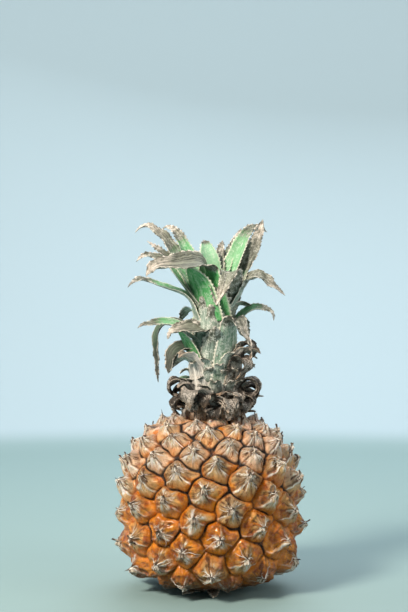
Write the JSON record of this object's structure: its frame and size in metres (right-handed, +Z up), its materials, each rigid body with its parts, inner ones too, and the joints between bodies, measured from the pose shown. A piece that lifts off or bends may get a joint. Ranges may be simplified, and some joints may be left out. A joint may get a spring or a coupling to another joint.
{
  "type": "pineapple",
  "caption": "Small whole pineapple standing upright: squat barrel fruit with bulging spiny eyes in spirals, a short crown of toothed curling leaves, and withered leaves round the crown's foot.",
  "frame": {"origin": "on the resting surface, under the fruit's axis", "axes": "+Z up along the fruit's axis, -Y towards the front that the picture shows, +X to the right"},
  "size_m": [0.1014, 0.1015, 0.1923],
  "materials": {
    "rind": "amber-orange waxy rind with papery grey-beige bracts and brown grooves",
    "dry_stalk": "dry and fibrous",
    "green_leaf": "silver-green with pale scurf, dry pale tips and margins",
    "withered_leaf": "dry dark brown and grey, with beige margins"
  },
  "bodies": {
    "root": {"fruit": "rind", "stalk": "dry_stalk", "crown_leaves": "green_leaf", "withered_leaves": "withered_leaf"}
  },
  "joints": []
}
